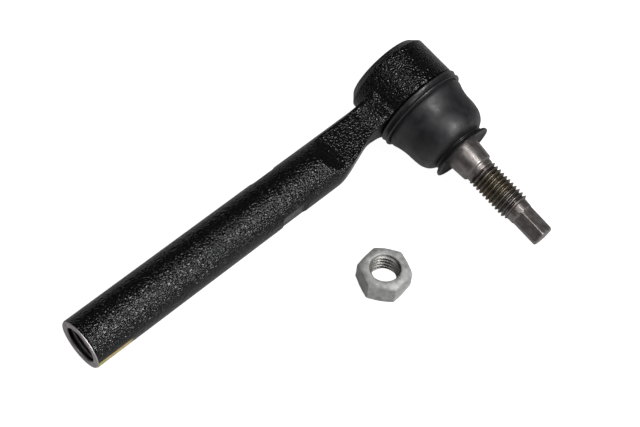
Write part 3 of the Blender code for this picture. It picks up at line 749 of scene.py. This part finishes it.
def thread_tree():
    """A screw thread's ridge: a trapezoid carried along a helix, drawn in where the thread runs out."""
    tree = bpy.data.node_groups.new("thread_ridge", "GeometryNodeTree")
    interface = tree.interface
    interface.new_socket("Geometry", in_out="OUTPUT", socket_type="NodeSocketGeometry")
    for name, value in (
        ("Root radius", 6.0),
        ("Pitch", 2.0),
        ("Length", 20.0),
        ("Rise", 1.2),
        ("Foot width", 1.7),
        ("Crest width", 0.3),
        ("Runout share", 0.04),
        ("Way out", 1.0),
    ):
        interface.new_socket(name, in_out="INPUT", socket_type="NodeSocketFloat").default_value = value
    interface.new_socket("Steps in a turn", in_out="INPUT", socket_type="NodeSocketInt").default_value = 72
    interface.new_socket("Finish", in_out="INPUT", socket_type="NodeSocketMaterial")
    nodes, links = tree.nodes, tree.links
    given = nodes.new("NodeGroupInput").outputs

    def maths(operation, first, second):
        node = nodes.new("ShaderNodeMath")
        node.operation = operation
        for socket, value in zip(node.inputs, (first, second)):
            if isinstance(value, bpy.types.NodeSocket):
                links.new(value, socket)
            else:
                socket.default_value = value
        return node.outputs[0]

    turns = maths("DIVIDE", given["Length"], given["Pitch"])
    helix = nodes.new("GeometryNodeCurveSpiral")
    links.new(given["Steps in a turn"], helix.inputs["Resolution"])
    links.new(turns, helix.inputs["Rotations"])
    links.new(given["Root radius"], helix.inputs["Start Radius"])
    links.new(given["Root radius"], helix.inputs["End Radius"])
    links.new(given["Length"], helix.inputs["Height"])
    helix.inputs["Reverse"].default_value = True

    upright = nodes.new("GeometryNodeSetCurveNormal")
    upright.mode = "Z_UP"
    links.new(helix.outputs[0], upright.inputs["Curve"])

    share = nodes.new("GeometryNodeSplineParameter").outputs["Factor"]
    from_end = maths("MINIMUM", share, maths("SUBTRACT", 1.0, share))
    full = maths("MINIMUM", maths("DIVIDE", from_end, given["Runout share"]), 1.0)
    thick = nodes.new("GeometryNodeSetCurveRadius")
    links.new(upright.outputs[0], thick.inputs["Curve"])
    links.new(maths("MAXIMUM", full, 0.05), thick.inputs["Radius"])

    section = nodes.new("GeometryNodeCurvePrimitiveQuadrilateral")
    section.mode = "TRAPEZOID"
    links.new(given["Foot width"], section.inputs["Bottom Width"])
    links.new(given["Crest width"], section.inputs["Top Width"])
    links.new(given["Rise"], section.inputs["Height"])
    section.inputs["Offset"].default_value = 0.0
    stand = nodes.new("GeometryNodeTransform")
    links.new(section.outputs[0], stand.inputs["Geometry"])
    lift = nodes.new("ShaderNodeCombineXYZ")
    links.new(maths("MULTIPLY", maths("MULTIPLY", given["Rise"], 0.5), given["Way out"]), lift.inputs["X"])
    links.new(lift.outputs[0], stand.inputs["Translation"])
    quarter = nodes.new("ShaderNodeCombineXYZ")
    links.new(maths("MULTIPLY", given["Way out"], -math.pi / 2), quarter.inputs["Z"])
    links.new(quarter.outputs[0], stand.inputs["Rotation"])

    sweep = nodes.new("GeometryNodeCurveToMesh")
    links.new(thick.outputs[0], sweep.inputs["Curve"])
    links.new(stand.outputs[0], sweep.inputs["Profile Curve"])
    sweep.inputs["Fill Caps"].default_value = True
    links.new(nodes.new("GeometryNodeInputRadius").outputs[0], sweep.inputs["Scale"])
    real = nodes.new("GeometryNodeRealizeInstances")
    links.new(sweep.outputs[0], real.inputs[0])
    coat = nodes.new("GeometryNodeSetMaterial")
    links.new(real.outputs[0], coat.inputs["Geometry"])
    links.new(given["Finish"], coat.inputs["Material"])
    links.new(coat.outputs[0], nodes.new("NodeGroupOutput").inputs[0])
    return tree


def thread_ridge(tree, finish, start, **sizes):
    """The ridge as a plain mesh, from one station up."""
    obj = bpy.data.objects.new("ridge", bpy.data.meshes.new("ridge"))
    bpy.context.scene.collection.objects.link(obj)
    modifier = obj.modifiers.new("thread", "NODES")
    modifier.node_group = tree
    named = {item.name: item.identifier for item in tree.interface.items_tree if item.in_out == "INPUT"}
    for name, value in sizes.items():
        modifier[named[name.replace("_", " ").capitalize()]] = value
    modifier[named["Finish"]] = finish
    mesh = evaluated(obj)
    bpy.data.objects.remove(obj)
    merged(mesh, 1e-4)
    mesh.transform(Matrix.Translation((0.0, 0.0, start)))
    return mesh


# Pieces


def make_forging(finish):
    """The forging's skin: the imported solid, skinned evenly and settled on its eased shape."""
    source = merged(frame["nodes"]["rod_housing"].data.copy(), 1e-6)
    source.transform(part_place.inverted())
    skin = settled(even_skin(source, FORGING_MESH), forging)
    x, y, z = points_of(skin).T
    along = ramped(x, DAB_START, 0.6) * ramped(-x, -DAB_END, 2.0)
    angle = np.degrees(np.arctan2(z, y)) % 360.0
    under = ramped(-np.abs(angle - DAB_ANGLE), -DAB_HALF_SPREAD, 3.0)
    mark(skin, "dab", along * under)
    return piece("forged_rod", skin, part_place, finish, "housing", ("rod_housing",), 60.0)


def make_rod_end(tree, finish):
    """The machined end of the rod: its bare face and the start of the thread for the inner rod."""
    end = -ROD_LENGTH
    outline = eased(
        [
            (END_RING_RADIUS, end, 0.1),
            (END_RING_RADIUS, end + END_RING_DEPTH, 0.0),
            (THREAD_ROOT + SLEEVE_WALL, end + END_RING_DEPTH, 0.0),
            (THREAD_ROOT + SLEEVE_WALL, end + BORE_DEPTH, 0.0),
            (0.0, end + BORE_DEPTH + 3.0, 0.0),
            (0.0, end + BORE_DEPTH, 0.0),
            (THREAD_ROOT, end + BORE_DEPTH - 3.0, 0.0),
            (THREAD_ROOT, end + 1.1, 0.1),
            (THREAD_CREST + 0.15, end + 0.6, 0.1),
            (THREAD_CREST + 0.3, end, 0.15),
        ]
    )
    sleeve = turned_mesh("sleeve", outline, 128)
    ridge = thread_ridge(
        tree,
        finish,
        end + 1.2,
        root_radius=THREAD_ROOT + 0.05,
        pitch=ROD_PITCH,
        length=ROD_THREAD_DEPTH,
        rise=THREAD_ROOT - THREAD_CREST + 0.05,
        way_out=-1.0,
        foot_width=1.3,
        crest_width=0.3,
        runout_share=0.02,
        steps_in_a_turn=64,
    )
    mesh = joined("rod_end", [sleeve, ridge])
    points = points_of(mesh)
    from_axis = np.hypot(points[:, 0], points[:, 1])
    # Painted shade: the bore's wall and thread roots, away from the crests, are marked to be coloured near
    # black.
    inside = (points[:, 2] > end + 1.0) & (from_axis < THREAD_ROOT + SLEEVE_WALL / 2)
    mark(mesh, "painted_recess_shade", inside * ramped(from_axis, THREAD_CREST + 0.05, 0.4))
    return piece("machined_end", mesh, rod_place, finish, "housing")


def make_cap(finish):
    """The pressed disc that the housing's rim is rolled over."""
    outline = eased(
        [
            (0.0, PLATE_TOP, 0.0),
            (PLATE_RADIUS, PLATE_TOP, 0.2),
            (PLATE_RADIUS, PLATE_BACK, 0.2),
            (10.6, PLATE_BACK, 0.8),
            (9.2, PLATE_BACK + 0.5, 0.8),
            (0.0, PLATE_BACK + 0.5, 0.0),
        ],
        closed=False,
    )
    mesh = turned_mesh("cap", filled_in(outline, 1.5, False), 128, closed=False)
    return piece("cap_disc", mesh, stud_place, finish, "housing", ("cover_plate",))


def make_clamp(finish):
    """The spring band that holds the boot's foot, with a rolled edge each side."""
    low, high, inner, outer = 3.9, 7.8, 20.1, 21.9
    outline = eased(
        [
            (inner, high, 0.2),
            (outer - 0.25, high, 0.5),
            (outer, high - 0.7, 0.3),
            (outer - 0.45, high - 1.2, 0.3),
            (outer - 0.45, low + 1.2, 0.3),
            (outer, low + 0.7, 0.3),
            (outer - 0.25, low, 0.5),
            (inner, low, 0.2),
        ]
    )
    mesh = turned_mesh("clamp", outline, 160)
    return piece("boot_band", mesh, stud_place, finish, "housing", ("boot_clamp",))


BOOT_MIDDLE = 19.0
HANG_START = 9.0
HANG_LENGTH = 21.0
LIP_START = 32.0
# Where the painted shade on the boot's lip begins.
LIP_SHADE_START = 29.5
BOOT_OUTSIDE = [
    (19.8, 3.75, 0.2),
    (19.8, 8.2, 0.2),
    (20.3, 8.6, 0.4),
    (20.35, 9.9, 0.9),
    (19.3, 12.8, 2.0),
    (18.55, 16.6, 3.0),
    (18.45, 21.3, 4.0),
    (17.75, 25.6, 4.0),
    (15.9, 28.6, 2.4),
    (13.5, 30.1, 0.9),
    (12.3, 30.5, 0.3),
    (12.2, 31.2, 0.3),
    (12.3, 31.9, 0.3),
    (13.3, 32.15, 0.7),
    (14.6, 32.7, 0.45),
    (14.8, 33.7, 0.22),
]
BOOT_INSIDE = [
    (14.4, 33.95, 0.2),
    (13.0, 33.1, 0.6),
    (10.4, 32.4, 0.6),
    (8.85, 31.9, 0.3),
    (8.75, 29.2, 0.4),
    (10.5, 27.9, 1.0),
    (14.2, 26.2, 2.0),
    (15.7, 24.0, 2.0),
    (16.4, 20.6, 2.0),
    (16.6, 16.0, 2.0),
    (17.4, 12.6, 1.0),
    (17.9, 9.8, 0.3),
    (17.9, 3.75, 0.2),
]


def boot_fold(radius, angle, station):
    """The boot's soft, uneven hang between its foot and its lip, and the lip's faint ruffle."""
    hang = math.sin(math.pi * min(1.0, max(0.0, (station - HANG_START) / HANG_LENGTH))) ** 2
    lobes = 0.16 * math.sin(3 * angle + 0.8) + 0.12 * math.sin(5 * angle + station * 0.22)
    lobes += 0.08 * math.sin(2 * angle)
    lip = max(0.0, min(1.0, (station - LIP_START) / 2.0)) * max(0.0, min(1.0, (radius - 9.5) / 3.0))
    ruffle = 0.12 * math.sin(2 * angle + 0.4) + 0.07 * math.sin(7 * angle + 1.0)
    return radius + hang * lobes + lip * ruffle


def cut_outline(outline, station, above):
    """The part of a closed outline on one side of a station, closed by straight cuts."""
    kept = []
    for (r, z), (r2, z2) in zip(outline, outline[1:] + outline[:1]):
        inside = z >= station if above else z <= station
        inside2 = z2 >= station if above else z2 <= station
        if inside:
            kept.append((r, z))
        if inside != inside2:
            share = (station - z) / (z2 - z)
            kept.append((r + (r2 - r) * share, station))
    return kept


def make_boot(finish):
    """The dust boot in two lengths, because it bends over two crossed swings."""
    outline = eased(BOOT_OUTSIDE + BOOT_INSIDE, steps=5)
    lengths = []
    for name, above in (("boot_foot_half", False), ("boot_lip_half", True)):
        cut = filled_in(cut_outline(outline, BOOT_MIDDLE, above), 0.7)
        mesh = turned_mesh(name, cut, 144, bend=boot_fold)
        # Painted shade: the lip, from its start station on, is marked to be coloured near black.
        mark(mesh, "painted_lip_shade", ramped(points_of(mesh)[:, 2], LIP_SHADE_START, 1.5))
        lengths.append(piece(name, mesh, stud_place, finish, sharp=50.0))
    foot, lip = lengths
    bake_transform(foot)
    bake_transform(lip)
    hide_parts("dust_boot")


def make_spring_ring(finish):
    """Two turns of wire in the groove behind the boot's lip."""
    rings = []
    for station in (30.87, 31.53):
        rings.append(turned_mesh("wire", arc((12.55, station), 0.34, 0.0, 2 * math.pi, 12)[:-1], 120))
    mesh = joined("spring_ring", rings)
    return piece("lip_spring", mesh, stud_place, finish, "boot_end", ("boot_spring_ring",), 80.0)


def stud_outline():
    """The stud from the bottom of its ball to the end of its thread."""
    bottom = -math.acos(BALL_FLAT_RADIUS / BALL_RADIUS)
    top = math.acos((NECK_RADIUS + 0.1) / BALL_RADIUS)
    ball_part = arc((0.0, 0.0), BALL_RADIUS, bottom, top, 40)
    shank = eased(
        [
            (NECK_RADIUS, 11.4, 1.5),
            (NECK_RADIUS, 15.0, 3.0),
            (TAPER_RADIUS, 22.6, 1.5),
            (TAPER_RADIUS, TAPER_START, 0.0),
            (TAPER_END_RADIUS, TAPER_END, 0.0),
            (TAPER_END_RADIUS - 0.12, TAPER_END + 0.75, 0.5),
            (RELIEF_RADIUS, TAPER_END + 1.4, 0.35),
            (RELIEF_RADIUS, RELIEF_END, 0.4),
            (STUD_ROOT, RELIEF_END + 0.8, 0.2),
            (STUD_ROOT, STUD_ROOT_END, 0.2),
        ],
        closed=False,
    )
    return [(0.0, ball_part[0][1])] + ball_part + shank


def hex_end_width(pilot, angle, station):
    """How wide the stud's pilot is where a hexagon is milled on it, with the cutter's run-out."""
    into_cut = min(1.0, max(0.0, (station - HEX_START + 0.7) / HEX_RUNOUT))
    depth = math.sqrt(1.0 - (1.0 - into_cut) ** 2)
    flat = pilot + HEX_PROUD - (pilot + HEX_PROUD - HEX_HALF_FLATS) * depth
    near_end = max(0.0, station - (STUD_END - TIP_ROUND)) / TIP_ROUND
    round_end = pilot - 0.06 - 1.5 * (1.0 - math.sqrt(max(0.0, 1.0 - near_end**2)))
    from_flat = (angle - HEX_TURN) % (math.pi / 3) - math.pi / 6
    return min(round_end, flat / math.cos(from_flat) - 0.5 * near_end**3)


def make_hex_end():
    """The stud's pilot and its hexagon, with more rings where the cut runs out and the tip rounds."""
    stations = [69.4, 69.7, 70.4, 71.2]
    stations += [71.6 + 0.12 * i for i in range(22)]
    stations += [74.4, 76.0, 78.0, 80.0, 82.0, 83.6, 84.5, 84.9, 85.2, 85.45, 85.62, 85.73, STUD_END]
    outline = [(0.0, stations[0])] + [(PILOT_RADIUS, station) for station in stations] + [(0.0, STUD_END)]
    return turned_mesh("hex_end", outline, 192, closed=False, bend=hex_end_width)


def make_stud(tree, finish):
    """The ball stud: ball, neck, taper, M14x2 thread and hexagon."""
    outline = stud_outline() + [(0.0, STUD_ROOT_END + 0.2)]
    shank = turned_mesh("shank", outline, 144, closed=False)
    ridge = thread_ridge(
        tree,
        finish,
        STUD_THREAD_START,
        root_radius=STUD_ROOT - 0.1,
        pitch=STUD_PITCH,
        length=STUD_THREAD_LENGTH,
        rise=1.35,
        foot_width=1.9,
        crest_width=0.28,
        runout_share=0.045,
        steps_in_a_turn=96,
    )
    mesh = joined("ball_stud", [shank, ridge, make_hex_end()])
    points = points_of(mesh)
    station = points[:, 2]
    from_axis = np.hypot(points[:, 0], points[:, 1])
    mark(mesh, "wax", ramped(station, WAX_START, 3.0) * ramped(-station, -WAX_END, 5.0))
    # Painted shade: points near the thread's roots are marked to be coloured near black.
    threaded = (station > RELIEF_END + 0.8) & (station < STUD_ROOT_END - 0.1)
    mark(mesh, "painted_recess_shade", threaded * ramped(-from_axis, -6.6, 0.8))
    return piece("stud", mesh, stud_place, finish, "stud", ("ball_stud",), 28.0)


def plating_swell(point):
    """How far the plating stands out at a point, in broad humps and small ones."""
    spot = Vector(point)
    return noise.noise(spot * 0.33) * 0.11 + noise.noise(spot * 0.9) * 0.05


def make_nut(tree, finish, thread_finish):
    """The hexagon nut, its plating uneven and its edges knocked, and the thread inside it."""
    inner, outer, low, high = 7.2, 11.6, 0.4, 10.6
    rough = turned_mesh("nut", [(inner, low), (outer, low), (outer, high), (inner, high)], 60)
    skin = settled(even_skin(rough, NUT_MESH), plated_nut, 4)
    points = points_of(skin)
    slope = steepness(plated_nut, points)
    slope /= np.maximum(np.linalg.norm(slope, axis=1), 1e-6)[:, None]
    swell = np.array([plating_swell(point) for point in points])
    outside = np.hypot(points[:, 0], points[:, 1]) > 7.6
    above_foot = ramped(points[:, 2], 0.0, 0.8)
    for spot, size, depth in NUT_DENTS:
        far = np.linalg.norm(points - np.array(spot), axis=1) / size
        swell -= depth * np.exp(-far * far)
    put_points(skin, points + (swell * outside * above_foot)[:, None] * slope)
    from_hole = np.hypot(points[:, 0] - NUT_HOLE_OFFSET[0], points[:, 1] - NUT_HOLE_OFFSET[1])
    # Painted shade: the hole's wall below the chamfer is marked to be coloured near black.
    mark(skin, "painted_hole_shade", ramped(-from_hole, -7.45, 0.2) * ramped(-points[:, 2], -9.9, 0.4))
    piece("nut_body", skin, nut_place, finish, "nut", ("stud_nut",), 60.0)
    ridge = thread_ridge(
        tree,
        thread_finish,
        NUT_THREAD_START,
        root_radius=NUT_ROOT + 0.05,
        pitch=STUD_PITCH,
        length=NUT_HEIGHT - 2 * NUT_THREAD_START,
        rise=1.2,
        way_out=-1.0,
        foot_width=1.6,
        crest_width=0.35,
        runout_share=0.04,
        steps_in_a_turn=96,
    )
    # Painted shade: the thread's roots are marked to be coloured near black.
    mark(ridge, "painted_recess_shade", ramped(np.hypot(*points_of(ridge)[:, :2].T), 6.1, 0.5))
    ridge.transform(Matrix.Translation((*NUT_HOLE_OFFSET, 0.0)))
    return piece("nut_thread", ridge, nut_place, thread_finish, "nut")


def dress_inner_parts(acetal, steel):
    """Finishes for the parts inside the housing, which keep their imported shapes."""
    for name, finish in (("bearing_liner", acetal), ("pressure_seat", acetal), ("preload_spring", steel)):
        mesh = frame["nodes"][name].data
        mesh.materials.clear()
        mesh.materials.append(finish)


# Studio


def make_floor():
    """The table, lit from within, that the part and its nut lie on."""
    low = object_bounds()[0]
    mesh = bpy.data.meshes.new("floor")
    reach = 3.0
    corners = [(-reach, -reach, 0), (reach, -reach, 0), (reach, reach, 0), (-reach, reach, 0)]
    mesh.from_pydata(corners, [], [(0, 1, 2, 3)])
    floor = bpy.data.objects.new("floor", mesh)
    floor.location.z = min(0.0, low[2]) - 0.0002
    bpy.context.scene.collection.objects.link(floor)
    paper = Finish("light_table", (0.3, 0.3, 0.3), 0.9)
    paper.set("Emission Color", (1.0, 1.0, 1.0, 1.0))
    seen = paper.add("ShaderNodeLightPath").outputs["Is Camera Ray"]
    paper.use("Emission Strength", paper.ramp(seen, 0.0, 1.0, 0.17, 0.98))
    mesh.materials.append(paper.material)


def make_softbox(name, towards, distance, width, height, power):
    """An area light that hangs in a direction from the middle of the part and faces it."""
    light = bpy.data.lights.new(name, "AREA")
    light.shape = "RECTANGLE"
    light.size, light.size_y = width, height
    light.energy = power
    lamp = bpy.data.objects.new(name, light)
    away = Vector(towards).normalized()
    aim = Vector((0.03, 0.0, 0.01))
    turn = away.to_track_quat("Z", "X").to_matrix().to_4x4()
    lamp.matrix_world = Matrix.Translation(aim + away * distance) @ turn
    bpy.context.scene.collection.objects.link(lamp)


def make_world():
    """Pale behind the table for the camera, dim for everything that reflects it."""
    world = bpy.data.worlds.new("studio")
    world.use_nodes = True
    tree = world.node_tree
    back = tree.nodes["Background"]
    ray = tree.nodes.new("ShaderNodeLightPath")
    mix = tree.nodes.new("ShaderNodeMix")
    mix.data_type = "RGBA"
    mix.inputs[6].default_value = (0.03, 0.03, 0.032, 1.0)
    mix.inputs[7].default_value = (0.95, 0.95, 0.95, 1.0)
    tree.links.new(ray.outputs["Is Camera Ray"], mix.inputs[0])
    tree.links.new(mix.outputs[2], back.inputs["Color"])
    bpy.context.scene.world = world


def make_camera():
    """A long lens that looks down over the open end's left side, towards the ball."""
    level, rise = math.cos(VIEW_LIFT), math.sin(VIEW_LIFT)
    back = Vector((math.sin(VIEW_TURN) * level, -math.cos(VIEW_TURN) * level, rise))
    flat_right = Vector((math.cos(VIEW_TURN), math.sin(VIEW_TURN), 0.0))
    flat_up = back.cross(flat_right)
    right = flat_right * math.cos(VIEW_ROLL) + flat_up * math.sin(VIEW_ROLL)
    up = flat_up * math.cos(VIEW_ROLL) - flat_right * math.sin(VIEW_ROLL)
    camera = bpy.data.cameras.new("camera")
    camera.sensor_width = 36.0
    camera.lens = LENS
    camera.clip_start = 0.01
    camera.clip_end = 20.0
    eye = bpy.data.objects.new("camera", camera)
    spot = ball + (back * VIEW_DISTANCE + right * VIEW_ASIDE + up * VIEW_DOWN) * MM
    eye.matrix_world = Matrix.Translation(spot) @ Matrix((right, up, back)).transposed().to_4x4()
    bpy.context.scene.collection.objects.link(eye)
    bpy.context.scene.camera = eye


paint = forge_paint()
steel = machined_steel()
coating = band_coating()
acetal = natural_acetal()
threads = thread_tree()
make_forging(paint)
make_rod_end(threads, steel)
make_cap(paint)
make_clamp(coating)
make_boot(boot_rubber())
make_spring_ring(coating)
make_stud(threads, phosphated_steel())
make_nut(threads, dull_zinc(), thread_zinc())
dress_inner_parts(acetal, steel)
make_floor()
make_world()
make_softbox("key", (0.12, -0.66, 0.72), 0.75, 1.0, 0.1, 7.5)
make_softbox("fill", (-0.42, 0.05, 0.9), 0.9, 0.26, 0.2, 1.0)
make_camera()
bpy.context.scene.view_settings.view_transform = "Standard"
